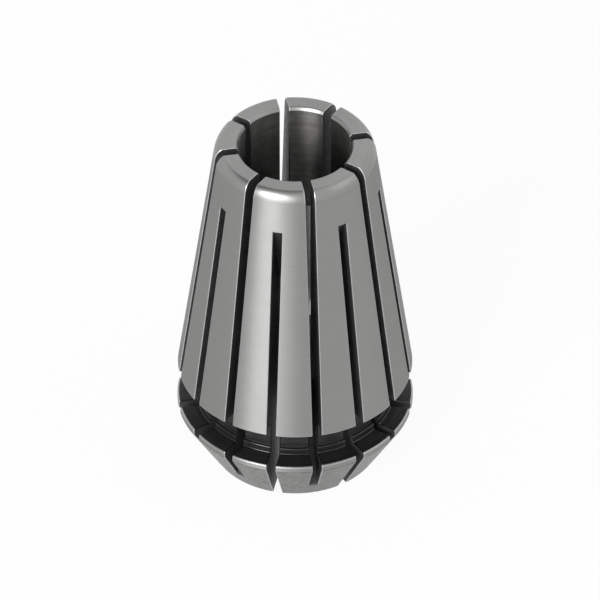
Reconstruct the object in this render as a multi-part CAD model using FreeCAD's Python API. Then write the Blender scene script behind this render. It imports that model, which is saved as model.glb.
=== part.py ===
import FreeCAD, Part
import math
import os

# A size 16 spring collet with an 8 degree taper and an 8 mm bore, for a tool holder or spindle nose.
# It is one turned, slotted, hardened and ground piece of spring steel.
# It stands on its front face. The origin is the centre of that face, +Z runs up the bore's axis to the
# small end, and X runs through the middle of a slot cut from the small end.
# Lengths are in millimetres and angles in degrees.

# Main sizes
LENGTH = 27.5
COLLAR_DIAMETER = 17.0
BORE_DIAMETER = 8.0

# Nose: a short 30 degree taper for the clamping nut, then a narrow cylindrical land
NOSE_TAPER_ANGLE = 30.0
NOSE_TAPER_LENGTH = 4.05
LAND_LENGTH = 0.5
COLLAR_EDGE_BREAK = 0.1

# Groove behind the collar, where the nut's ring pulls the collet out of its seat.
# The turning tool leaves a low step on the floor, beside the collar.
GROOVE_WIDTH = 2.8
GROOVE_FLOOR_DIAMETER = 13.8
GROOVE_STEP_RISE = 0.2
GROOVE_STEP_HEIGHT = 0.55
GROOVE_ROOT_RADIUS = 0.1   # in the collar's corner and the step's
GROOVE_CORNER_RADIUS = 0.4

# Long taper that seats in the holder
TAPER_ANGLE = 8.0
TAPER_LARGE_DIAMETER = 16.9
TAPER_EDGE_BREAK = 0.08

# Rounding where the long taper meets the small end. It stops at a crease on the end face, where the
# rounding's surface still leans away from the axis by this angle above the horizontal.
END_ROUND_RADIUS = 1.4
END_ROUND_CREASE_ANGLE = 53.0

# Countersinks at the two mouths of the bore
FRONT_COUNTERSINK = 0.3
REAR_COUNTERSINK = 0.15

# Saw slots, half of them cut from each end and interleaved round the axis
SLOTS_FROM_EACH_END = 8
SLOT_WIDTH = 0.65
FRONT_SLOT_STOP = 3.25     # from the small end to where a front slot stops, on the long taper
REAR_SLOT_STOP = 1.5       # from the front face to where a rear slot stops, on the nose taper
SAW_DIAMETER = 63.0
SAW_REACH_INTO_BORE = 1.0  # how far the saw's rim passes the bore's wall

# Room that a cutting shape has outside the piece
TOOL_CLEARANCE = 1.0

ORIGIN = FreeCAD.Vector(0, 0, 0)
AXIS = FreeCAD.Vector(0, 0, 1)

bore_radius = BORE_DIAMETER / 2
collar_radius = COLLAR_DIAMETER / 2
nose_slope = math.tan(math.radians(NOSE_TAPER_ANGLE))
taper_slope = math.tan(math.radians(TAPER_ANGLE))
face_radius = collar_radius - NOSE_TAPER_LENGTH * nose_slope
shoulder_z = NOSE_TAPER_LENGTH + LAND_LENGTH
taper_start_z = shoulder_z + GROOVE_WIDTH


def nose_radius(z):
    """Radius of the nose taper at a height."""
    return face_radius + z * nose_slope


def taper_radius(z):
    """Radius of the long taper at a height."""
    return TAPER_LARGE_DIAMETER / 2 - (z - taper_start_z) * taper_slope


def at(radius, z):
    """A point of the profile, in the plane through the axis and X."""
    return FreeCAD.Vector(radius, 0, z)


def line(start, end):
    return Part.LineSegment(start, end).toShape()


def arc(start, middle, end):
    return Part.Arc(start, middle, end).toShape()


def on_circle(centre, radius, angle):
    """Point of a circle in the profile's plane, at an angle above the outward direction."""
    turn = math.radians(angle)
    return centre + at(radius * math.cos(turn), radius * math.sin(turn))


def nose_edges():
    """Front countersink, front face, nose taper, land and the collar's broken edge."""
    mouth = at(bore_radius + FRONT_COUNTERSINK, 0)
    face_edge = at(face_radius, 0)
    land_start = at(collar_radius, NOSE_TAPER_LENGTH)
    land_end = at(collar_radius, shoulder_z - COLLAR_EDGE_BREAK)
    shoulder_edge = at(collar_radius - COLLAR_EDGE_BREAK, shoulder_z)
    return [
        line(at(bore_radius, FRONT_COUNTERSINK), mouth),
        line(mouth, face_edge),
        line(face_edge, land_start),
        line(land_start, land_end),
        line(land_end, shoulder_edge),
    ], shoulder_edge


def inside_corner(corner, radius, from_below):
    """Fillet in a right-angled inside corner of the groove, with the floor's side towards the axis.
    It joins the lower face to the floor above it, or the floor to the upper face."""
    side = 1 if from_below else -1
    centre = corner + at(radius, side * radius)
    on_face = corner + at(radius, 0)
    on_floor = corner + at(0, side * radius)
    middle = on_circle(centre, radius, 180 + side * 45)
    if from_below:
        return arc(on_face, middle, on_floor), on_face, on_floor
    return arc(on_floor, middle, on_face), on_floor, on_face


def groove_edges(shoulder_edge):
    """Shoulder, step, floor and the wall below the long taper, with a fillet in each corner."""
    floor = GROOVE_FLOOR_DIAMETER / 2
    step = floor + GROOVE_STEP_RISE
    step_z = shoulder_z + GROOVE_STEP_HEIGHT
    step_edge = at(step, step_z)
    shoulder_root, shoulder_end, step_start = inside_corner(at(step, shoulder_z), GROOVE_ROOT_RADIUS, True)
    step_root, ledge_end, floor_start = inside_corner(at(floor, step_z), GROOVE_ROOT_RADIUS, True)
    wall_root, floor_end, wall_start = inside_corner(at(floor, taper_start_z), GROOVE_CORNER_RADIUS, False)
    wall_edge = at(TAPER_LARGE_DIAMETER / 2 - TAPER_EDGE_BREAK, taper_start_z)
    return [
        line(shoulder_edge, shoulder_end),
        shoulder_root,
        line(step_start, step_edge),
        line(step_edge, ledge_end),
        step_root,
        line(floor_start, floor_end),
        wall_root,
        line(wall_start, wall_edge),
    ], wall_edge


def taper_edges(wall_edge):
    """Broken edge, long taper, rounding, end face and rear countersink."""
    broken_z = taper_start_z + TAPER_EDGE_BREAK
    taper_low = at(taper_radius(broken_z), broken_z)
    round_height = END_ROUND_RADIUS * (
        math.sin(math.radians(END_ROUND_CREASE_ANGLE)) - math.sin(math.radians(TAPER_ANGLE))
    )
    round_start_z = LENGTH - round_height
    taper_high = at(taper_radius(round_start_z), round_start_z)
    centre = on_circle(taper_high, -END_ROUND_RADIUS, TAPER_ANGLE)
    middle_angle = (TAPER_ANGLE + END_ROUND_CREASE_ANGLE) / 2
    crease = on_circle(centre, END_ROUND_RADIUS, END_ROUND_CREASE_ANGLE)
    mouth = at(bore_radius + REAR_COUNTERSINK, LENGTH)
    bore_high = at(bore_radius, LENGTH - REAR_COUNTERSINK)
    return [
        line(wall_edge, taper_low),
        line(taper_low, taper_high),
        arc(taper_high, on_circle(centre, END_ROUND_RADIUS, middle_angle), crease),
        line(crease, mouth),
        line(mouth, bore_high),
        line(bore_high, at(bore_radius, FRONT_COUNTERSINK)),
    ]


def turned_blank():
    """The whole outline, bore included, turned once round the axis."""
    nose, shoulder_edge = nose_edges()
    groove, wall_edge = groove_edges(shoulder_edge)
    outline = Part.Wire(nose + groove + taper_edges(wall_edge))
    return Part.Face(outline).revolve(ORIGIN, AXIS, 360)


def saw_reach(radius):
    """How far along the axis the saw's rim leads its centre, at a distance from the axis."""
    saw_radius = SAW_DIAMETER / 2
    below_centre = bore_radius - SAW_REACH_INTO_BORE + saw_radius - radius
    return math.sqrt(saw_radius**2 - below_centre**2)


def saw_cut(stop_radius, stop_z, open_z):
    """What the saw sweeps: in at open_z, along the axis, until its rim is at the stop.
    The slot keeps the rim's arc at its end, so it is shorter in the bore than outside."""
    heading = 1 if stop_z > open_z else -1
    centre_z = stop_z - heading * saw_reach(stop_radius)
    inner = bore_radius - SAW_REACH_INTO_BORE
    outer = collar_radius + TOOL_CLEARANCE
    middle = (inner + outer) / 2
    root = at(inner, centre_z)
    rim_end = at(outer, centre_z + heading * saw_reach(outer))
    rim_middle = at(middle, centre_z + heading * saw_reach(middle))
    outline = Part.Wire([
        line(at(inner, open_z), root),
        arc(root, rim_middle, rim_end),
        line(rim_end, at(outer, open_z)),
        line(at(outer, open_z), at(inner, open_z)),
    ])
    cut = Part.Face(outline).extrude(FreeCAD.Vector(0, SLOT_WIDTH, 0))
    cut.translate(FreeCAD.Vector(0, -SLOT_WIDTH / 2, 0))
    return cut


def round_the_axis(shape, first_angle):
    """Copies of a shape, evenly spaced round the axis."""
    copies = []
    for number in range(SLOTS_FROM_EACH_END):
        turned = shape.copy()
        turned.rotate(ORIGIN, AXIS, first_angle + number * 360 / SLOTS_FROM_EACH_END)
        copies.append(turned)
    return copies


def slots():
    """Rear slots from X on, and front slots midway between them."""
    rear_stop_radius = nose_radius(REAR_SLOT_STOP)
    rear = saw_cut(rear_stop_radius, REAR_SLOT_STOP, LENGTH + TOOL_CLEARANCE)
    front_stop_z = LENGTH - FRONT_SLOT_STOP
    front = saw_cut(taper_radius(front_stop_z), front_stop_z, -TOOL_CLEARANCE)
    half_step = 180 / SLOTS_FROM_EACH_END
    return round_the_axis(rear, 0) + round_the_axis(front, half_step)


def collet():
    return turned_blank().cut(slots())


os.makedirs("parts", exist_ok=True)
shape = collet()
shape.exportStep("parts/collet.step")
print("collet: solids", len(shape.Solids), "valid", shape.isValid(), "volume mm3", round(shape.Volume, 1))
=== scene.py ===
"""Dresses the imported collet: one turned, slotted and ground piece of spring steel.

The body is one closed surface worked out with numpy. A profile is carried round the axis as a grid,
the sixteen saw slots are windows in that grid, and each window is closed by two flat walls and the
curved end that the saw leaves. Two neighbouring slots are worked out, and that stretch is repeated.
"""

import bpy
import numpy as np
from bpy.props import FloatProperty, FloatVectorProperty, IntProperty, PointerProperty
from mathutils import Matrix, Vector
from mathutils.geometry import delaunay_2d_cdt


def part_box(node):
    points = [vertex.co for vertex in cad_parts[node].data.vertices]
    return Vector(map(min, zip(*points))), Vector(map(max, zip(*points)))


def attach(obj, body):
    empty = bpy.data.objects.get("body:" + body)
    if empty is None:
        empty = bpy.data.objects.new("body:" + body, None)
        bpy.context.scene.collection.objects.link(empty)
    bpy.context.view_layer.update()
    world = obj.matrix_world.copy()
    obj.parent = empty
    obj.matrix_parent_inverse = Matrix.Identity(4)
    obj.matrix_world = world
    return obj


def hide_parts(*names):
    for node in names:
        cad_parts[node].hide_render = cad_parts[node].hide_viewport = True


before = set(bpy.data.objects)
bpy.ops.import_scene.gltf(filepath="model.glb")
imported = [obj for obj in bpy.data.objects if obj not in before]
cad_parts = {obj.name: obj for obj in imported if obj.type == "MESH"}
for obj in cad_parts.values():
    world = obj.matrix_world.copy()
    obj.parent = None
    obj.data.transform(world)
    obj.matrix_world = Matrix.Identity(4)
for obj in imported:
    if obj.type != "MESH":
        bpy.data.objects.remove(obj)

bl_info = {
    "name": "Spring collet",
    "version": (1, 0, 0),
    "blender": (4, 5, 0),
    "location": "3D View > Sidebar > Collet",
    "description": "Builds a ground steel spring collet and a plain studio round it",
    "category": "Add Mesh",
}

MM = 0.001
NODE = "collet"
LOW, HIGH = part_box(NODE)

# Lines of the profile that slots end on, by the number of the corner that each one starts at
NOSE_LINE, TAPER_LINE, BORE_LINE = 1, 8, 12

# Cells across the steel between two slots, and facets along the curved end of a slot
LAND_CELLS = 9
ARC_STEPS = 14

# Columns of the grid across one slot: the turn of the edge's rounding in degrees, from the outer
# surface to the slot's wall, and the place in half slot widths
EDGE_TURN = np.radians([0, 45, 90, 90, 90, 90, 45, 0])
ACROSS = np.array([-1, -1, -1, -1 / 3, 1 / 3, 1, 1, 1])
WALL_COLUMNS = {2: 1, 5: -1}

# How a slot's flat wall is cut into triangles: only inside its outline, to a tolerance in mm
CUT_INSIDE = 1
CUT_TOLERANCE = 1e-6

# Ground steel: how rough it is, how far its lines draw a glint out, and what is left of its tone at a
# flat angle, where its ridges shade each other
GROUND_ROUGHNESS = 0.4
GROUND_ANISOTROPY = 0.9
GROUND_EDGE_ON = 0.65

# Polished steel: the same two. The polish fades over this share of its depth, both ways
POLISHED_ROUGHNESS = 0.29
POLISHED_ANISOTROPY = 0.3
POLISH_FADE = 0.35

# Tone that the bore's colour is painted down to, as painted shade deep in the bore, and how much of the
# blackened steel shows metal
BORE_PAINTED_SHADE_TONE = 0.6
SCALE_METALLIC = 0.7

# Depth of ground lines and of the groove's turned ridges, and how many times longer than its spacing
# each of them runs before it fades
LINE_DEPTH, LINE_STRETCH = 0.0004 * MM, 60
RIDGE_DEPTH, RIDGE_STRETCH = 0.003 * MM, 40

# Roughness varies by this much over the patches, and this part of the noise fills a pattern's range
ROUGHNESS_SWING = 0.02
NOISE_LOW, NOISE_HIGH = 0.3, 0.7

SENSOR_WIDTH = 36

# The piece's finishes, in the order of its material slots
FINISHES = ("nose", "taper", "rounding", "face", "bore", "groove", "slot", "edge", "worn", "corner")

# Finish of the edges beside the slots, where it isn't the bright line of bare steel whose colour carries
# a painted highlight. Over the rounding it is the polished corners, whose glints are partly painted
# highlight
EDGE_FINISHES = {"groove": "worn", "worn": "worn", "bore": "bore", "rounding": "corner"}

# The floor's size, how much of what the camera and the steel see of it doesn't depend on the lamps,
# and how far from the axis the floor, seen down the bore, has only the light that reaches it
FLOOR_SIZE = 1.6
FLOOR_LIFT = 0.93
FLOOR_MIRRORED = 0.6
FLOOR_DARK_WITHIN = 4.4 * MM

# The room: its light, the way to the dimmest part of the ceiling, which is a little to the left, and
# how far along that way the room begins to dim and is down to the ceiling's level
ROOM_LIGHT = 0.6
CEILING_WAY = (-0.35, 0, 1)
CEILING_FROM = 0.78
CEILING_TO = 0.9
CEILING_LEVEL = 0.35

# Each lamp: name, degrees from the camera round the axis, elevation, distance, width, height, watts
LAMPS = (
    ("key_box", -31, 26, 0.45, 0.19, 0.13, 1.08),
    ("broad_box", -24, 14, 0.6, 0.46, 0.42, 1.15),
    ("side_box", 75, 35, 0.6, 0.35, 0.3, 0.14),
)


def linear(hex_colour):
    """sRGB hex to linear: the low end is a straight line, the rest a power of 2.4."""
    value = np.array([int(hex_colour[i:i + 2], 16) for i in (1, 3, 5)]) / 255
    straight = value / 12.92
    curved = ((value + 0.055) / 1.055) ** 2.4
    return tuple(np.where(value <= 0.04045, straight, curved))


def length_property(name, default, description):
    """A size that a user may change, in metres."""
    return FloatProperty(name=name, default=default, description=description, min=0, unit="LENGTH",
                         subtype="DISTANCE", precision=5)


def angle_property(name, degrees, description):
    return FloatProperty(name=name, default=float(np.radians(degrees)), description=description,
                         unit="ROTATION", subtype="ANGLE")


def colour_property(name, hex_colour, description):
    return FloatVectorProperty(name=name, default=linear(hex_colour), description=description, size=3,
                               min=0, max=1, subtype="COLOR")


class ColletSizes(bpy.types.PropertyGroup):
    """Sizes of the collet. The length comes from the frame, the rest are the real piece's."""

    length: length_property("Length", HIGH.z - LOW.z, "Front face to small end")
    collar_diameter: length_property("Collar", 17 * MM, "Largest diameter, over the land")
    bore_diameter: length_property("Bore", 8 * MM, "Straight bore that grips the shank")
    nose_angle: angle_property("Nose angle", 30, "Slope of the nut's taper to the axis")
    nose_length: length_property("Nose length", 4.05 * MM, "Height of the nut's taper")
    land_length: length_property("Land", 0.5 * MM, "Cylindrical land behind the nose")
    groove_width: length_property("Groove width", 2.8 * MM, "Extraction groove along the axis")
    groove_floor: length_property("Groove floor", 13.8 * MM, "Diameter at the groove's floor")
    step_rise: length_property("Step rise", 0.2 * MM, "Low step beside the collar")
    step_height: length_property("Step height", 0.55 * MM, "How far the step runs along the axis")
    taper_angle: angle_property("Taper angle", 8, "Slope of the long taper to the axis")
    taper_large: length_property("Taper diameter", 16.9 * MM, "Large end of the long taper")
    end_radius: length_property("End rounding", 1.4 * MM, "Rounding at the small end")
    crease_angle: angle_property("Crease", 53, "Lean of the rounding where it meets the end face")
    front_countersink: length_property("Front countersink", 0.3 * MM, "At the bore's front mouth")
    rear_countersink: length_property("Rear countersink", 0.15 * MM, "At the bore's rear mouth")
    rear_depth: length_property("Rear countersink depth", 0.23 * MM, "How far it runs down the bore")
    slots_each_end: IntProperty(name="Slots", default=8, min=2, description="Slots cut from each end")
    slot_width: length_property("Slot width", 0.65 * MM, "Saw's thickness")
    front_stop: length_property("Front slot stop", 3.25 * MM, "From the small end to a front slot")
    rear_stop: length_property("Rear slot stop", 1.5 * MM, "From the front face to a rear slot")
    saw_diameter: length_property("Saw", 63 * MM, "Diameter of the slotting saw")
    saw_reach: length_property("Saw reach", 1 * MM, "How far the saw passes the bore's wall")
    deburr: length_property("Deburr", 0.065 * MM, "Rounding on every edge of the slots")
    row_spacing: length_property("Row spacing", 0.7 * MM, "Largest gap between rows of the grid")


class ColletFinish(bpy.types.PropertyGroup):
    """Colours of the steel and of the stage, how far the polish runs down from the small end, and where
    the bore's painted shade is full.
    """

    ground: colour_property("Ground steel", "#969695", "Tapers and land")
    # The nose's colour is set darker than the ground steel's as painted shade, for the shadowed floor
    # under it that it reflects
    nose: colour_property("Nose", "#828281", "Nut's taper")
    polished: colour_property("Polished steel", "#929291", "Rounding at the small end")
    turned: colour_property("Turned steel", "#989897", "End faces")
    # The bore's steel is a darker grey than the outside, partly for its honed finish and partly as
    # painted shade for the dim inside of the bore
    honed: colour_property("Honed steel", "#706f6d", "Bore, under a film of oil")
    # Brighter than the ground steel: bare steel on the edges, lifted further as a painted highlight
    bare: colour_property("Bare edges", "#adadac", "Edges that deburring has brightened")
    worn: colour_property("Worn edges", "#444443", "Edges in the groove")
    # Much brighter than the polished rounding: the corners' glints are partly the lamps and partly
    # painted highlight
    corner: colour_property("Polished corners", "#c8c8c7", "Slot edges over the rounding")
    scale: colour_property("Scale", "#343434", "Black oxide left in the groove and on the slots' ends")
    sawn: colour_property("Sawn", "#545454", "Black oxide left on the slots' flat walls")
    paper: colour_property("Stage", "#f7f7f6", "Floor")
    # Depth from the small end at which the bore's painted shade is full: there the bore's colour is
    # darkest
    bore_painted_shade_depth: length_property("Oil", 3 * MM, "How far from the small end the bore's oil film is full")
    polish_depth: length_property("Polish", 0.63 * MM, "How far the polish runs down from the small end")


class ColletStudio(bpy.types.PropertyGroup):
    """The photograph's view, found by fitting a camera to the outlines of the collet."""

    azimuth: angle_property("Azimuth", -10.8, "Turn of the camera about the collet's axis")
    elevation: angle_property("Elevation", 40.377, "Camera above the horizon")
    distance: length_property("Distance", 583.1 * MM, "Camera to the point it looks at")
    aim_height: length_property("Aim height", 13.061 * MM, "Height of that point")
    aim_side: length_property("Aim side", 0.352 * MM, "How far that point lies right of the axis")
    focal: length_property("Lens", 489.1 * MM, "Focal length on a 36 mm sensor")


def unit_vectors(points):
    """Each vector over its length."""
    return points / np.linalg.norm(points, axis=-1, keepdims=True)


def in_the_round(along, lateral, height, turn):
    """Points from a slot's own plane: along it from the axis, across it, and up."""
    return np.stack(np.broadcast_arrays(along * np.cos(turn) - lateral * np.sin(turn),
                                        along * np.sin(turn) + lateral * np.cos(turn), height), -1)


def collet_outline(sizes):
    """Corners of the turned profile as (r, z, rounding, its facets, its finish, finish of the line
    that follows).

    It runs out along the front face, up the outside, in across the small end and down the bore, so
    the steel is on the left."""
    bore = sizes.bore_diameter / 2
    collar = sizes.collar_diameter / 2
    shoulder_z = sizes.nose_length + sizes.land_length
    taper_z = shoulder_z + sizes.groove_width
    taper_r = sizes.taper_large / 2
    floor = sizes.groove_floor / 2
    step = floor + sizes.step_rise
    step_z = shoulder_z + sizes.step_height
    face_r = collar - sizes.nose_length * np.tan(sizes.nose_angle)
    slope = np.tan(sizes.taper_angle)

    # The rounding's arc turns from the taper's lean to the crease's. Its two tangents cross at a corner.
    rise = sizes.end_radius * (np.sin(sizes.crease_angle) - np.sin(sizes.taper_angle))
    run = sizes.end_radius * (np.cos(sizes.taper_angle) - np.cos(sizes.crease_angle))
    arc_z = sizes.length - rise
    arc_r = taper_r - (arc_z - taper_z) * slope
    crease_r = arc_r - run
    tangent = sizes.end_radius * np.tan((sizes.crease_angle - sizes.taper_angle) / 2)
    corner_r = arc_r - tangent * np.sin(sizes.taper_angle)
    corner_z = arc_z + tangent * np.cos(sizes.taper_angle)

    # A corner that a slot's rim passes is rounded by more than the deburring, or the rim would cross
    # itself there. The crease is softened too, and the arc stops short of it by a little more than
    # that takes.
    soft = 0.07 * MM
    crease_soft = 0.14 * MM
    crease_room = 1.02 * crease_soft * np.tan((np.pi / 2 - sizes.crease_angle) / 2)
    arc_radius = sizes.end_radius * (1 - crease_room / tangent)

    return [
        (bore + sizes.front_countersink, 0, soft, 3, "edge", "face"),
        (face_r, 0, 0.12 * MM, 5, "edge", "nose"),
        (collar, sizes.nose_length, 0.25 * MM, 3, "nose", "taper"),
        (collar, shoulder_z, 0.12 * MM, 6, "edge", "groove"),
        (step, shoulder_z, 0.1 * MM, 3, "worn", "groove"),
        (step, step_z, 0.1 * MM, 4, "worn", "groove"),
        (floor, step_z, 0.03 * MM, 2, "groove", "groove"),
        (floor, taper_z, 0.4 * MM, 5, "groove", "groove"),
        (taper_r, taper_z, 0.1 * MM, 5, "edge", "taper"),
        (corner_r, corner_z, arc_radius, 14, "rounding", "rounding"),
        (crease_r, sizes.length, crease_soft, 5, "rounding", "face"),
        (bore + sizes.rear_countersink, sizes.length, 0.15 * MM, 5, "face", "face"),
        (bore, sizes.length - sizes.rear_depth, soft, 3, "face", "bore"),
        (bore, sizes.front_countersink, soft, 3, "edge", "edge"),
    ]


def rounded_profile(corners, spacing, wanted_rows):
    """Rows of a closed profile: an arc at each corner, and evenly spaced rows on each line between.

    An arc's centre lies inside its corner, at its radius from both lines. Its points and normals turn
    evenly from one line's normal to the next. wanted_rows adds a row at each height given for a line,
    by the line's number. Returns r and z, the outward normal, the finish of the strip that starts at
    each row, and its line's number (-1 on an arc)."""
    corner = np.array([c[:2] for c in corners])
    ahead = unit_vectors(np.roll(corner, -1, 0) - corner)
    behind = np.roll(ahead, 1, 0)
    cross = behind[:, 0] * ahead[:, 1] - behind[:, 1] * ahead[:, 0]
    turn = np.arctan2(cross, (behind * ahead).sum(1))
    radius = np.array([c[2] for c in corners])
    tangent = radius * np.tan(np.abs(turn) / 2)
    side = np.sign(turn)
    normal_before = np.stack([behind[:, 1], -behind[:, 0]], 1)
    centre = corner - behind * tangent[:, None] - normal_before * (side * radius)[:, None]
    start_angle = np.arctan2(normal_before[:, 1], normal_before[:, 0])

    points, normals, finishes, lines = [], [], [], []
    for i, (_, _, _, steps, arc_finish, line_finish) in enumerate(corners):
        angle = start_angle[i] + turn[i] * np.linspace(0, 1, steps + 1)
        normal = np.stack([np.cos(angle), np.sin(angle)], 1)
        arc = centre[i] + normal * side[i] * radius[i]
        after = (i + 1) % len(corners)
        line_end = corner[after] - ahead[i] * tangent[after]
        run = np.linalg.norm(line_end - arc[-1])
        share = np.linspace(0, 1, int(np.ceil(run / spacing)) + 1)[1:-1]
        if i in wanted_rows:
            wanted = (np.array(wanted_rows[i]) - arc[-1, 1]) / (line_end[1] - arc[-1, 1])
            near = np.abs(share[:, None] - wanted[None, :]).min(1) * run < spacing / 4
            share = np.sort(np.concatenate([share[~near], wanted]))
        line = arc[-1] + (line_end - arc[-1]) * share[:, None]
        points += [arc, line]
        normals += [normal, np.repeat(normal[-1:], len(line), 0)]
        finishes += [arc_finish] * steps + [line_finish] * (1 + len(line))
        lines += [-1] * len(arc) + [i] * len(line)
    number = np.array([FINISHES.index(name) for name in finishes])
    return np.concatenate(points), np.concatenate(normals), number, np.array(lines)


def saw_lead(sizes, radius):
    """How far along the axis the saw's rim leads its centre, at a distance from the axis."""
    saw = sizes.saw_diameter / 2
    below = sizes.bore_diameter / 2 - sizes.saw_reach + saw - radius
    return np.sqrt(saw**2 - below**2)


def slot_stops(sizes):
    """Heights where a rear slot and a front slot stop, each outside and on the bore's wall."""
    bore = sizes.bore_diameter / 2
    nose_r = sizes.collar_diameter / 2 - (sizes.nose_length - sizes.rear_stop) * np.tan(sizes.nose_angle)
    taper_z = sizes.nose_length + sizes.land_length + sizes.groove_width
    front_z = sizes.length - sizes.front_stop
    taper_r = sizes.taper_large / 2 - (front_z - taper_z) * np.tan(sizes.taper_angle)
    rear_bore = sizes.rear_stop + saw_lead(sizes, nose_r) - saw_lead(sizes, bore)
    front_bore = front_z - saw_lead(sizes, taper_r) + saw_lead(sizes, bore)
    return (sizes.rear_stop, rear_bore), (front_z, front_bore)


def saw_arc(outer, inner, radius):
    """Arc of the saw's rim from outer to inner, each an array of (distance from axis, height).

    The centre is on the chord's bisector, on the side away from the bore, so that the slot's end
    curves away from the saw. Returns the points and the unit vectors that point to the centre."""
    chord = inner - outer
    half = np.linalg.norm(chord, axis=-1, keepdims=True) / 2
    across = unit_vectors(np.stack([-chord[..., 1], chord[..., 0]], -1))
    across = across * np.sign(across[..., :1])
    centre = (outer + inner) / 2 + across * np.sqrt(radius**2 - half**2)
    first, last = outer - centre, inner - centre
    start = np.arctan2(first[..., 1], first[..., 0])
    sweep = np.arctan2(last[..., 1], last[..., 0]) - start
    sweep = (sweep + np.pi) % (2 * np.pi) - np.pi
    angle = start + sweep * np.linspace(0, 1, ARC_STEPS + 1)[:, None]
    out = np.stack([np.cos(angle), np.sin(angle)], -1)
    return centre + out * radius, -out


def repeated_grid(sizes, profile, profile_normal, sunk):
    """Points and normals of the grid over a rear slot, a front slot and the steel after each.

    Near a slot a column keeps its distance from the slot's middle plane, so it lies along that plane
    at the root of the radius squared less that distance squared. Beyond, the columns share the angle
    to the next slot evenly. Where a row is sunk, the columns beside the slot sink along a quarter
    circle: in by deburr times one less the cosine of its turn, and across by deburr times one less
    the sine. The arrays are [row, slot, column, xyz]."""
    pitch = np.pi / sizes.slots_each_end
    turn = pitch * np.arange(2)[None, :, None]
    r, z = profile.T[..., None, None]
    normal_r, normal_z = profile_normal.T[..., None, None]
    clear = np.sign(ACROSS) * (np.abs(ACROSS) == 1) * (1 - np.sin(EDGE_TURN))
    lateral = ACROSS * sizes.slot_width / 2 + clear * sizes.deburr

    depth = sunk * sizes.deburr * (1 - np.cos(EDGE_TURN))
    radius = r - depth * normal_r
    along = np.sqrt(radius**2 - lateral**2)
    slot_points = in_the_round(along, lateral, z - depth * normal_z, turn)
    flat = in_the_round(normal_r * along / radius, normal_r * lateral / radius, normal_z, turn)
    across = in_the_round(0, -np.sign(lateral), 0, turn)
    tilt = (sunk * EDGE_TURN)[..., None]
    slot_normals = flat * np.cos(tilt) + across * np.sin(tilt)

    edge = np.arcsin(lateral[-1] / r)
    angle = turn + edge + (pitch - 2 * edge) * np.arange(1, LAND_CELLS) / LAND_CELLS
    land_points = in_the_round(r, 0, z, angle)
    land_normals = in_the_round(normal_r, 0, normal_z, angle)
    return (np.concatenate([slot_points, land_points], 2),
            np.concatenate([slot_normals, land_normals], 2))


def grid_cells(finish, sunk, closed, stretch_size):
    """Quads of the repeated grid, with a finish each. The cells between a slot's walls are left out,
    and the last column's cells reach the next stretch's first column."""
    rows, _, columns = closed
    ids = np.arange(rows * 2 * columns).reshape(rows, -1)
    right = np.concatenate([ids[:, 1:], ids[:, :1] + stretch_size], 1)
    quads = np.stack([ids, right, np.roll(right, -1, 0), np.roll(ids, -1, 0)], -1)
    quads = quads.reshape(rows, 2, columns, 4)
    cell_finish = np.broadcast_to(finish[:, None, None], closed).copy()
    inside = (sunk & np.roll(sunk, -1, 0))[..., 0]
    beside = np.zeros(columns, bool)
    beside[[0, 1, 5, 6]] = True
    between = np.zeros(columns, bool)
    between[2:5] = True
    edge_finish = np.array([FINISHES.index(EDGE_FINISHES.get(name, "edge")) for name in FINISHES])
    edge_finish = edge_finish[finish][:, None, None]
    cell_finish = np.where(inside[..., None] & beside, edge_finish, cell_finish)
    kept = ~(inside[..., None] & between)
    return quads[kept], cell_finish[kept]


def slot_surface(sizes, ids, points, rim, turn, first_new):
    """One slot's curved end and two flat walls, on the grid's own rim points.

    rim lists the slot's rows from outside to the bore. Returns new points for the curved end, its
    quads and their normals, and the walls' triangles and normals."""
    ends = rim[[0, -1]]
    lateral = ACROSS[2:6] * sizes.slot_width / 2
    end_points = points[ends, 2:6]
    end_along = np.sqrt((end_points[..., :2] ** 2).sum(-1) - lateral**2)
    outer, inner = np.stack([end_along, end_points[..., 2]], -1)
    arc, towards = saw_arc(outer, inner, sizes.saw_diameter / 2)
    new = in_the_round(arc[1:-1, :, 0], lateral, arc[1:-1, :, 1], turn)
    new_ids = first_new + np.arange(new[..., 0].size).reshape(-1, 4)
    ramp = np.concatenate([ids[ends[:1], 2:6], new_ids, ids[ends[1:], 2:6]])
    normal = in_the_round(towards[..., 0], 0, towards[..., 1], turn)
    quads = np.stack([ramp[:-1, :-1], ramp[:-1, 1:], ramp[1:, 1:], ramp[1:, :-1]], -1)
    quad_normals = np.stack([normal[:-1, :-1], normal[:-1, 1:], normal[1:, 1:], normal[1:, :-1]], -2)
    if towards[0, 0, 1] < 0:
        quads, quad_normals = quads[..., ::-1], quad_normals[..., ::-1, :]

    triangles, triangle_normals = [], []
    across = in_the_round(0, 1, 0, turn)
    for column, facing in WALL_COLUMNS.items():
        loop = np.concatenate([ids[rim, column], ramp[1:-1, column - 2][::-1]])
        places = np.concatenate([points[rim, column], new[:, column - 2][::-1]])
        flat = np.stack([np.hypot(places[:, 0], places[:, 1]), places[:, 2]], 1) / MM
        _, _, cut, source, _, _ = delaunay_2d_cdt(
            [Vector(place) for place in flat], [], [list(range(len(flat)))], CUT_INSIDE, CUT_TOLERANCE)
        cut = np.array(source)[:, 0][np.array(cut)]
        a, b, c = places[cut[0]]
        if np.cross(b - a, c - a) @ across * facing < 0:
            cut = cut[:, ::-1]
        triangles.append(loop[cut])
        triangle_normals.append(np.broadcast_to(across * facing, cut.shape + (3,)))
    return (new.reshape(-1, 3), quads.reshape(-1, 4), quad_normals.reshape(-1, 4, 3),
            np.concatenate(triangles), np.concatenate(triangle_normals))


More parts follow.
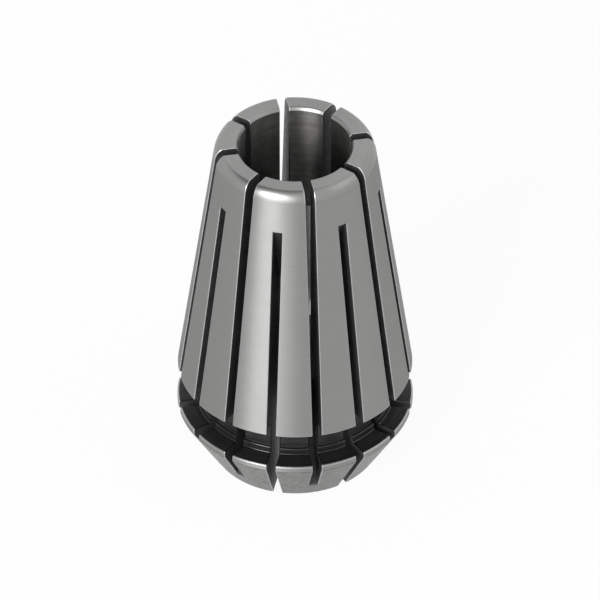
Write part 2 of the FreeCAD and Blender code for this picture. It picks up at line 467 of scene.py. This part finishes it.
def repeated_stretch(sizes):
    """The surface over one rear and one front slot: points, quads and triangles, each with a normal
    for every corner and a finish. Numbers past the last point belong to the next stretch."""
    rear, front = slot_stops(sizes)
    wanted = {
        NOSE_LINE: [rear[0] - sizes.deburr, rear[0]],
        TAPER_LINE: [front[0], front[0] + sizes.deburr],
        BORE_LINE: [rear[1] - sizes.deburr, rear[1], front[1], front[1] + sizes.deburr],
    }
    profile, profile_normal, finish, line = rounded_profile(
        collet_outline(sizes), sizes.row_spacing, wanted)
    rows = len(profile)

    def row_at(number, height):
        return int(np.argmin(np.abs(profile[:, 1] - height) + (line != number)))

    rear_rim = np.arange(row_at(NOSE_LINE, rear[0]), row_at(BORE_LINE, rear[1]) + 1)
    front_rim = np.arange(row_at(TAPER_LINE, front[0]), row_at(BORE_LINE, front[1]) - rows - 1, -1) % rows
    rims = (rear_rim, front_rim)
    sunk = np.stack([np.isin(np.arange(rows), rim) for rim in rims], 1)[..., None]

    points, normals = repeated_grid(sizes, profile, profile_normal, sunk)
    grid_size = points[..., 0].size
    end_size = (ARC_STEPS - 1) * 4
    ids = np.arange(grid_size).reshape(points.shape[:3])
    quads, quad_finish = grid_cells(finish, sunk, points.shape[:3], grid_size + 2 * end_size)

    flat_normals = np.concatenate([normals.reshape(-1, 3), np.zeros((2 * end_size, 3)),
                                   turned(normals.reshape(-1, 3), 2 * np.pi / sizes.slots_each_end)])
    all_points = [points.reshape(-1, 3)]
    all_quads, all_quad_normals, all_quad_finish = [quads], [flat_normals[quads]], [quad_finish]
    all_triangles, all_triangle_normals = [], []
    for k, rim in enumerate(rims):
        turn = k * np.pi / sizes.slots_each_end
        new, quads, quad_normals, triangles, triangle_normals = slot_surface(
            sizes, ids[:, k], points[:, k], rim, turn, grid_size + k * end_size)
        all_points.append(new)
        all_quads.append(quads)
        all_quad_normals.append(quad_normals)
        all_quad_finish.append(np.full(len(quads), FINISHES.index("groove")))
        all_triangles.append(triangles)
        all_triangle_normals.append(triangle_normals)
    triangles = np.concatenate(all_triangles)
    return (np.concatenate(all_points),
            (np.concatenate(all_quads), np.concatenate(all_quad_normals),
             np.concatenate(all_quad_finish)),
            (triangles, np.concatenate(all_triangle_normals),
             np.full(len(triangles), FINISHES.index("slot"))))


def turned(vectors, angle):
    """Vectors turned about the axis."""
    return in_the_round(vectors[..., 0], vectors[..., 1], vectors[..., 2], angle)


def body_surface(sizes):
    """The whole surface: the stretch of two slots, repeated round the axis, without spare points."""
    points, *kinds = repeated_stretch(sizes)
    copies = sizes.slots_each_end
    turns = 2 * np.pi * np.arange(copies)[:, None] / copies
    everything = turned(points[None], turns).reshape(-1, 3)
    shift = np.arange(copies)[:, None, None] * len(points)
    polygons = [((faces + shift) % len(everything)).reshape(-1, faces.shape[1])
                for faces, _, _ in kinds]
    normals = [turned(normal[None], turns[..., None]).reshape(-1, 3) for _, normal, _ in kinds]
    finishes = [np.tile(finish, copies) for _, _, finish in kinds]
    used = np.zeros(len(everything), bool)
    for faces in polygons:
        used[faces] = True
    renumbered = np.cumsum(used) - 1
    faces = [polygon for faces in polygons for polygon in renumbered[faces].tolist()]
    return everything[used], faces, unit_vectors(np.concatenate(normals)), np.concatenate(finishes)


def add_node(tree, kind, settings=None, inputs=None):
    """Adds a node with its settings. An input is set to a value, or linked where a socket is given."""
    node = tree.nodes.new(kind)
    for name, value in (settings or {}).items():
        setattr(node, name, value)
    for key, value in (inputs or {}).items():
        if isinstance(value, bpy.types.NodeSocket):
            tree.links.new(value, node.inputs[key])
        else:
            node.inputs[key].default_value = value
    return node


def new_material(name):
    """A material with its tree and its one shader, linked to the output."""
    material = bpy.data.materials.new(name)
    material.use_nodes = True
    tree = material.node_tree
    tree.nodes.clear()
    shader = tree.nodes.new("ShaderNodeBsdfPrincipled")
    output = tree.nodes.new("ShaderNodeOutputMaterial")
    tree.links.new(shader.outputs[0], output.inputs[0])
    return material, tree, shader


def turned_lines(tree, spacing, stretch):
    """Fine rings about the axis, as a wheel or a tool leaves them, from 0 to 1.

    It is noise on the radius and the height, both in steps of the spacing, with the position added
    at a stretch times coarser scale, so that a ring fades along its way."""
    position = add_node(tree, "ShaderNodeTexCoord").outputs["Object"]
    parts = add_node(tree, "ShaderNodeSeparateXYZ", inputs={0: position})
    flat = add_node(tree, "ShaderNodeCombineXYZ",
                    inputs={"X": parts.outputs["X"], "Y": parts.outputs["Y"]})
    radius = add_node(tree, "ShaderNodeVectorMath", {"operation": "LENGTH"}, {0: flat.outputs[0]})
    rings = add_node(tree, "ShaderNodeCombineXYZ",
                     inputs={"X": radius.outputs["Value"], "Y": parts.outputs["Z"]})
    drift = add_node(tree, "ShaderNodeVectorMath", {"operation": "SCALE"},
                     {0: position, "Scale": 1 / stretch})
    place = add_node(tree, "ShaderNodeVectorMath", {"operation": "ADD"},
                     {0: rings.outputs[0], 1: drift.outputs[0]})
    noise = add_node(tree, "ShaderNodeTexNoise",
                     inputs={"Vector": place.outputs[0], "Scale": 1 / spacing, "Detail": 2.0})
    return noise.outputs["Fac"]


def blotches(tree, size):
    """Soft cloudy patches of about the size given, from 0 to 1."""
    position = add_node(tree, "ShaderNodeTexCoord").outputs["Object"]
    noise = add_node(tree, "ShaderNodeTexNoise",
                     inputs={"Vector": position, "Scale": 1 / size, "Detail": 4.0, "Roughness": 0.6})
    return noise.outputs["Fac"]


def spread(tree, value, low, high):
    """A noise pattern carried to low and high by a straight line, and held there beyond its range."""
    scaled = add_node(tree, "ShaderNodeMapRange",
                      inputs={"Value": value, "From Min": NOISE_LOW, "From Max": NOISE_HIGH,
                              "To Min": low, "To Max": high})
    return scaled.outputs[0]


def shaded(tree, colour, factor):
    """A colour times a factor that varies over the surface."""
    return add_node(tree, "ShaderNodeVectorMath", {"operation": "SCALE"},
                    {0: tuple(colour), "Scale": factor}).outputs[0]


def height_on_piece(tree):
    """Height above the front face."""
    position = add_node(tree, "ShaderNodeTexCoord").outputs["Object"]
    return add_node(tree, "ShaderNodeSeparateXYZ", inputs={0: position}).outputs["Z"]


def lay_direction(tree):
    """Unit direction across the lay of a turned surface, in which its lines spread a reflection: the
    normal crossed with the way round the axis."""
    position = add_node(tree, "ShaderNodeTexCoord").outputs["Object"]
    normal = add_node(tree, "ShaderNodeNewGeometry").outputs["Normal"]
    around = add_node(tree, "ShaderNodeVectorMath", {"operation": "CROSS_PRODUCT"},
                      {0: (0, 0, 1), 1: position})
    across = add_node(tree, "ShaderNodeVectorMath", {"operation": "CROSS_PRODUCT"},
                      {0: normal, 1: around.outputs[0]})
    unit = add_node(tree, "ShaderNodeVectorMath", {"operation": "NORMALIZE"}, {0: across.outputs[0]})
    return unit.outputs[0]


def raise_lines(tree, shader, lines, depth):
    """Tilts the surface along a pattern of lines as if they stood up by the depth."""
    bump = add_node(tree, "ShaderNodeBump", inputs={"Height": lines, "Distance": depth, "Strength": 1.0})
    tree.links.new(bump.outputs[0], shader.inputs["Normal"])


def steel(name, colour, roughness, anisotropic, spacing, mottle, patch=1.6 * MM, speckle=None):
    """Bare steel with lines round the axis: their spacing, how strongly they and the patches of the
    last polish vary its tone, the patches' size, and a strength of their own for the patches."""
    speckle = speckle or mottle
    material, tree, shader = new_material(name)
    shader.inputs["Metallic"].default_value = 1
    shader.inputs["Anisotropic"].default_value = anisotropic
    tree.links.new(lay_direction(tree), shader.inputs["Tangent"])
    lines = turned_lines(tree, spacing, LINE_STRETCH)
    patches = blotches(tree, patch)
    tone = add_node(tree, "ShaderNodeMath", {"operation": "MULTIPLY"},
                    {0: spread(tree, lines, 1 - mottle, 1 + mottle),
                     1: spread(tree, patches, 1 - speckle, 1 + speckle)})
    tree.links.new(shaded(tree, colour, tone.outputs[0]), shader.inputs["Base Color"])
    tree.links.new(spread(tree, patches, roughness - ROUGHNESS_SWING, roughness + ROUGHNESS_SWING),
                   shader.inputs["Roughness"])
    raise_lines(tree, shader, lines, LINE_DEPTH)
    return material, tree, shader


def ground_steel(finish):
    """Hardened steel, cylindrically ground and lapped: the wheel's fine lines run round the axis, so
    a lamp's glint is drawn out along it, and the colour is a plain mid grey. The real lines are a few
    thousandths of a millimetre apart, and are drawn coarser so that they show. It darkens towards the
    sides, where it is seen at a flat angle."""
    material, _, shader = steel("ground_steel_taper", finish.ground, GROUND_ROUGHNESS, GROUND_ANISOTROPY,
                                spacing=0.1 * MM, mottle=0.02)
    shader.inputs["Specular Tint"].default_value = (GROUND_EDGE_ON, GROUND_EDGE_ON, GROUND_EDGE_ON, 1)
    return material


def ground_nose_painted_shade(finish):
    """The same grinding, with a shorter glint and a fine speckle. Its colour is a little darker as
    painted shade, for the shadowed floor under the nose that it reflects.
    """
    return steel("ground_steel_nose_painted_shade", finish.nose, roughness=0.36, anisotropic=0.5, spacing=0.1 * MM,
                 mottle=0.1, patch=0.3 * MM, speckle=0.35)[0]


def polished_rounding(finish):
    """Hardened steel, polished by hand over the rounding: clear narrow glints, and dark lines where
    it mirrors the ceiling. Downwards the polish fades into the ground finish of the taper."""
    material, tree, shader = steel("polished_steel_rounding", finish.polished, POLISHED_ROUGHNESS,
                                   POLISHED_ANISOTROPY, spacing=0.12 * MM, mottle=0.02)
    fade = add_node(tree, "ShaderNodeMapRange", {"interpolation_type": "SMOOTHSTEP"},
                    {"Value": height_on_piece(tree),
                     "From Min": HIGH.z - (1 + POLISH_FADE) * finish.polish_depth,
                     "From Max": HIGH.z - (1 - POLISH_FADE) * finish.polish_depth}).outputs[0]
    tree.nodes.remove(shader.inputs["Roughness"].links[0].from_node)
    for name, ground, polished in (("Roughness", GROUND_ROUGHNESS, POLISHED_ROUGHNESS),
                                   ("Anisotropic", GROUND_ANISOTROPY, POLISHED_ANISOTROPY)):
        blend = add_node(tree, "ShaderNodeMapRange",
                         inputs={"Value": fade, "To Min": ground, "To Max": polished})
        tree.links.new(blend.outputs[0], shader.inputs[name])
    return material


def turned_face(finish):
    """Steel faced in a lathe: rings about a tenth of a millimetre apart, even grey."""
    return steel("turned_steel_face", finish.turned, roughness=0.36, anisotropic=0.6,
                 spacing=0.12 * MM, mottle=0.03)[0]


def honed_bore(finish):
    """Honed steel: lines round the axis that carry the daylight of the mouth down the wall. Its colour is
    painted darker with depth, down to full painted shade some way in from the small end."""
    material, tree, shader = steel("honed_steel_bore", finish.honed, roughness=0.46, anisotropic=0.94,
                                   spacing=0.14 * MM, mottle=0.15, patch=0.7 * MM)
    # Painted shade: the bore's colour falls with depth from the small end, as light fades down the bore
    bore_light_share = add_node(tree, "ShaderNodeMapRange",
                     inputs={"Value": height_on_piece(tree), "From Min": HIGH.z - finish.bore_painted_shade_depth,
                             "From Max": HIGH.z, "To Min": BORE_PAINTED_SHADE_TONE, "To Max": 1.0}).outputs[0]
    colour = shader.inputs["Base Color"].links[0].from_socket
    bore_shaded_colour = add_node(tree, "ShaderNodeVectorMath", {"operation": "SCALE"}, {0: colour, "Scale": bore_light_share})
    tree.links.new(bore_shaded_colour.outputs[0], shader.inputs["Base Color"])
    return material


def blackened_groove(finish):
    """Turned steel that kept its black hardening scale: dull black, with greyer rings where the
    tool's ridges have worn bare."""
    material, tree, shader = new_material("blackened_steel_groove")
    shader.inputs["Metallic"].default_value = SCALE_METALLIC
    lines = turned_lines(tree, 0.16 * MM, RIDGE_STRETCH)
    tree.links.new(shaded(tree, finish.scale, spread(tree, lines, 0.75, 1.5)),
                   shader.inputs["Base Color"])
    tree.links.new(spread(tree, blotches(tree, 0.8 * MM), 0.38, 0.52), shader.inputs["Roughness"])
    raise_lines(tree, shader, lines, RIDGE_DEPTH)
    return material


def sawn_slot(finish):
    """Saw cut walls, black with hardening scale and oil: nearly dull."""
    material, tree, shader = new_material("sawn_steel_slot")
    shader.inputs["Metallic"].default_value = SCALE_METALLIC
    tree.links.new(shaded(tree, finish.sawn, spread(tree, blotches(tree, 0.7 * MM), 0.8, 1.2)),
                   shader.inputs["Base Color"])
    tree.links.new(spread(tree, blotches(tree, 0.4 * MM), 0.42, 0.55), shader.inputs["Roughness"])
    return material


def bare_edge_painted_highlight(finish):
    """Edges broken with a stone or a brush: a thin bright line of bare steel, its colour set brighter
    than the ground steel's, partly as a painted highlight.
    """
    return steel("deburred_steel_edge_painted_highlight", finish.bare, roughness=0.4, anisotropic=0.8,
                 spacing=0.2 * MM, mottle=0.05)[0]


def worn_edge(finish):
    """Edges in the groove, where black scale has worn thin: a soft grey line."""
    return steel("worn_steel_edge", finish.worn, roughness=0.22, anisotropic=0.8,
                 spacing=0.2 * MM, mottle=0.05)[0]


def polished_corner_painted_glint(finish):
    """Slot edges over the rounding, polished with it: small sharp glints of the lamps, made stronger by a
    colour set much brighter than the rounding's, as a painted highlight.
    """
    return steel("polished_steel_corner_painted_glint", finish.corner, roughness=0.2, anisotropic=0.0,
                 spacing=0.2 * MM, mottle=0.02)[0]


def either(tree, first, second):
    """1 where either of two light path tests is 1."""
    larger = add_node(tree, "ShaderNodeMath", {"operation": "MAXIMUM"}, {0: first, 1: second})
    return larger.outputs[0]


def matt_paper(finish):
    """White paper. The camera and the steel see much of it as plain white whatever the lamps do, and
    the rest of its shading carries the shadow. Inside the bore it has only the light that gets there."""
    material, tree, shader = new_material("matt_paper")
    shader.inputs["Base Color"].default_value = (*finish.paper, 1)
    shader.inputs["Roughness"].default_value = 0.95
    shader.inputs["Specular IOR Level"].default_value = 0
    glow = add_node(tree, "ShaderNodeEmission", inputs={"Strength": 1.0})
    path = add_node(tree, "ShaderNodeLightPath").outputs
    reflected = either(tree, path["Is Glossy Ray"], path["Is Transmission Ray"])
    mirrored = add_node(tree, "ShaderNodeMath", {"operation": "MULTIPLY"},
                        {0: reflected, 1: FLOOR_MIRRORED})
    position = add_node(tree, "ShaderNodeTexCoord").outputs["Object"]
    radius = add_node(tree, "ShaderNodeVectorMath", {"operation": "LENGTH"}, {0: position})
    outside = add_node(tree, "ShaderNodeMath", {"operation": "GREATER_THAN"},
                       {0: radius.outputs["Value"], 1: FLOOR_DARK_WITHIN})
    seen = add_node(tree, "ShaderNodeMath", {"operation": "MULTIPLY"},
                    {0: path["Is Camera Ray"], 1: outside.outputs[0]})
    share = add_node(tree, "ShaderNodeMath", {"operation": "MULTIPLY_ADD"},
                     {0: seen.outputs[0], 1: FLOOR_LIFT, 2: mirrored.outputs[0]})
    blend = add_node(tree, "ShaderNodeMixShader",
                     inputs={0: share.outputs[0], 1: shader.outputs[0], 2: glow.outputs[0]})
    tree.links.new(blend.outputs[0], tree.nodes["Material Output"].inputs[0])
    return material


def floor_piece(finish):
    """The floor that the collet stands on: one square sheet, as part of the stage."""
    mesh = bpy.data.meshes.new("floor")
    edge = FLOOR_SIZE / 2
    corners = [(-edge, -edge, 0), (edge, -edge, 0), (edge, edge, 0), (-edge, edge, 0)]
    mesh.from_pydata(corners, [], [(0, 1, 2, 3)])
    mesh.materials.append(matt_paper(finish))
    floor = bpy.data.objects.new("floor", mesh)
    return floor


def studio_world():
    """A plain pale room. It lights at a plain level and shows as white. Its ceiling is dimmer on one
    side, which draws a dark line on the edges there that lean upwards."""
    world = bpy.data.worlds.new("studio")
    world.use_nodes = True
    tree = world.node_tree
    direction = add_node(tree, "ShaderNodeTexCoord").outputs["Generated"]
    height = add_node(tree, "ShaderNodeVectorMath", {"operation": "DOT_PRODUCT"},
                      {0: direction, 1: CEILING_WAY})
    shown = add_node(tree, "ShaderNodeMapRange", {"interpolation_type": "SMOOTHSTEP"},
                     {"Value": height.outputs["Value"], "From Min": CEILING_FROM, "From Max": CEILING_TO,
                      "To Min": 1.0, "To Max": CEILING_LEVEL})
    path = add_node(tree, "ShaderNodeLightPath").outputs
    reflected = either(tree, path["Is Glossy Ray"], path["Is Transmission Ray"])
    strength = add_node(tree, "ShaderNodeMix", {"data_type": "FLOAT"},
                        {0: either(tree, path["Is Camera Ray"], reflected), 2: ROOM_LIGHT,
                         3: shown.outputs[0]})
    background = tree.nodes["Background"]
    background.inputs["Color"].default_value = (1, 1, 1, 1)
    tree.links.new(strength.outputs[0], background.inputs["Strength"])
    return world


def spherical(azimuth, elevation):
    """Direction seen from the object: azimuth 0 is the front, and a positive one is to the right."""
    flat = np.cos(elevation)
    return Vector((np.sin(azimuth) * flat, -np.cos(azimuth) * flat, np.sin(elevation)))


def aim_at(thing, target, direction, distance):
    """Places a lamp or camera at a distance from its target, and turns it to look back at it."""
    thing.location = target + direction * distance
    thing.rotation_euler = direction.to_track_quat("Z", "Y").to_euler()


def studio_lamps(studio):
    """A soft box to the left of the camera, a broad one behind it, and a dim one far to the right."""
    lamps = []
    for name, side, elevation, distance, width, height, watts in LAMPS:
        light = bpy.data.lights.new(name, "AREA")
        light.shape = "RECTANGLE"
        light.size = width
        light.size_y = height
        light.energy = watts
        lamp = bpy.data.objects.new(name, light)
        direction = spherical(studio.azimuth + np.radians(side), np.radians(elevation))
        aim_at(lamp, Vector((0, 0, studio.aim_height)), direction, distance)
        lamps.append(lamp)
    return lamps


def studio_camera(studio):
    """The photograph's camera. It looks a little right of the axis, at about half the height."""
    camera = bpy.data.objects.new("camera", bpy.data.cameras.new("camera"))
    camera.data.sensor_width = SENSOR_WIDTH
    camera.data.lens = studio.focal / MM
    right = Vector((np.cos(studio.azimuth), np.sin(studio.azimuth), 0))
    target = right * studio.aim_side + Vector((0, 0, studio.aim_height))
    aim_at(camera, target, spherical(studio.azimuth, studio.elevation), studio.distance)
    return camera


class COLLET_OT_body(bpy.types.Operator):
    """Builds the slotted and ground steel body in the place of its CAD node"""

    bl_idname = "collet.body"
    bl_label = "Collet body"

    def execute(self, context):
        scene = context.scene
        points, polygons, normals, finishes = body_surface(scene.collet_sizes)
        mesh = bpy.data.meshes.new("collet_body")
        mesh.from_pydata(points.tolist(), [], polygons)
        mesh.polygons.foreach_set("use_smooth", np.ones(len(polygons), bool))
        mesh.polygons.foreach_set("material_index", finishes.astype(np.int32))
        mesh.normals_split_custom_set(normals.tolist())
        if mesh.validate():
            raise RuntimeError("the collet's surface has faulty polygons")
        finish = scene.collet_finish
        makers = {"nose": ground_nose_painted_shade, "taper": ground_steel, "rounding": polished_rounding,
                  "face": turned_face, "bore": honed_bore, "groove": blackened_groove,
                  "slot": sawn_slot, "edge": bare_edge_painted_highlight, "worn": worn_edge,
                  "corner": polished_corner_painted_glint}
        for name in FINISHES:
            mesh.materials.append(makers[name](finish))
        piece = bpy.data.objects.new("collet_body", mesh)
        scene.collection.objects.link(piece)
        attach(piece, "root")
        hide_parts(NODE)
        return {"FINISHED"}


class COLLET_OT_stage(bpy.types.Operator):
    """Sets the floor, the lamps, the world and the camera"""

    bl_idname = "collet.stage"
    bl_label = "Collet stage"

    def execute(self, context):
        scene = context.scene
        studio = scene.collet_studio
        scene.view_settings.view_transform = "Standard"
        scene.world = studio_world()
        scene.camera = studio_camera(studio)
        for thing in (floor_piece(scene.collet_finish), scene.camera, *studio_lamps(studio)):
            scene.collection.objects.link(thing)
        return {"FINISHED"}


class COLLET_PT_panel(bpy.types.Panel):
    """Lists what the collet is made of"""

    bl_idname = "COLLET_PT_panel"
    bl_label = "Spring collet"
    bl_space_type = "VIEW_3D"
    bl_region_type = "UI"
    bl_category = "Collet"

    def draw(self, context):
        scene = context.scene
        for operator in OPERATORS:
            self.layout.operator(operator.bl_idname)
        for group in (scene.collet_sizes, scene.collet_finish, scene.collet_studio):
            for name in group.__annotations__:
                self.layout.prop(group, name)


OPERATORS = (COLLET_OT_body, COLLET_OT_stage)
GROUPS = {"collet_sizes": ColletSizes, "collet_finish": ColletFinish, "collet_studio": ColletStudio}


def register():
    for kind in (*GROUPS.values(), *OPERATORS, COLLET_PT_panel):
        bpy.utils.register_class(kind)
    for name, group in GROUPS.items():
        setattr(bpy.types.Scene, name, PointerProperty(type=group))


def unregister():
    for name in GROUPS:
        delattr(bpy.types.Scene, name)
    for kind in (COLLET_PT_panel, *OPERATORS, *GROUPS.values()):
        bpy.utils.unregister_class(kind)


def main():
    register()
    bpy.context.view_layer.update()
    bpy.ops.collet.body()
    bpy.ops.collet.stage()


if __name__ == "__main__":
    main()
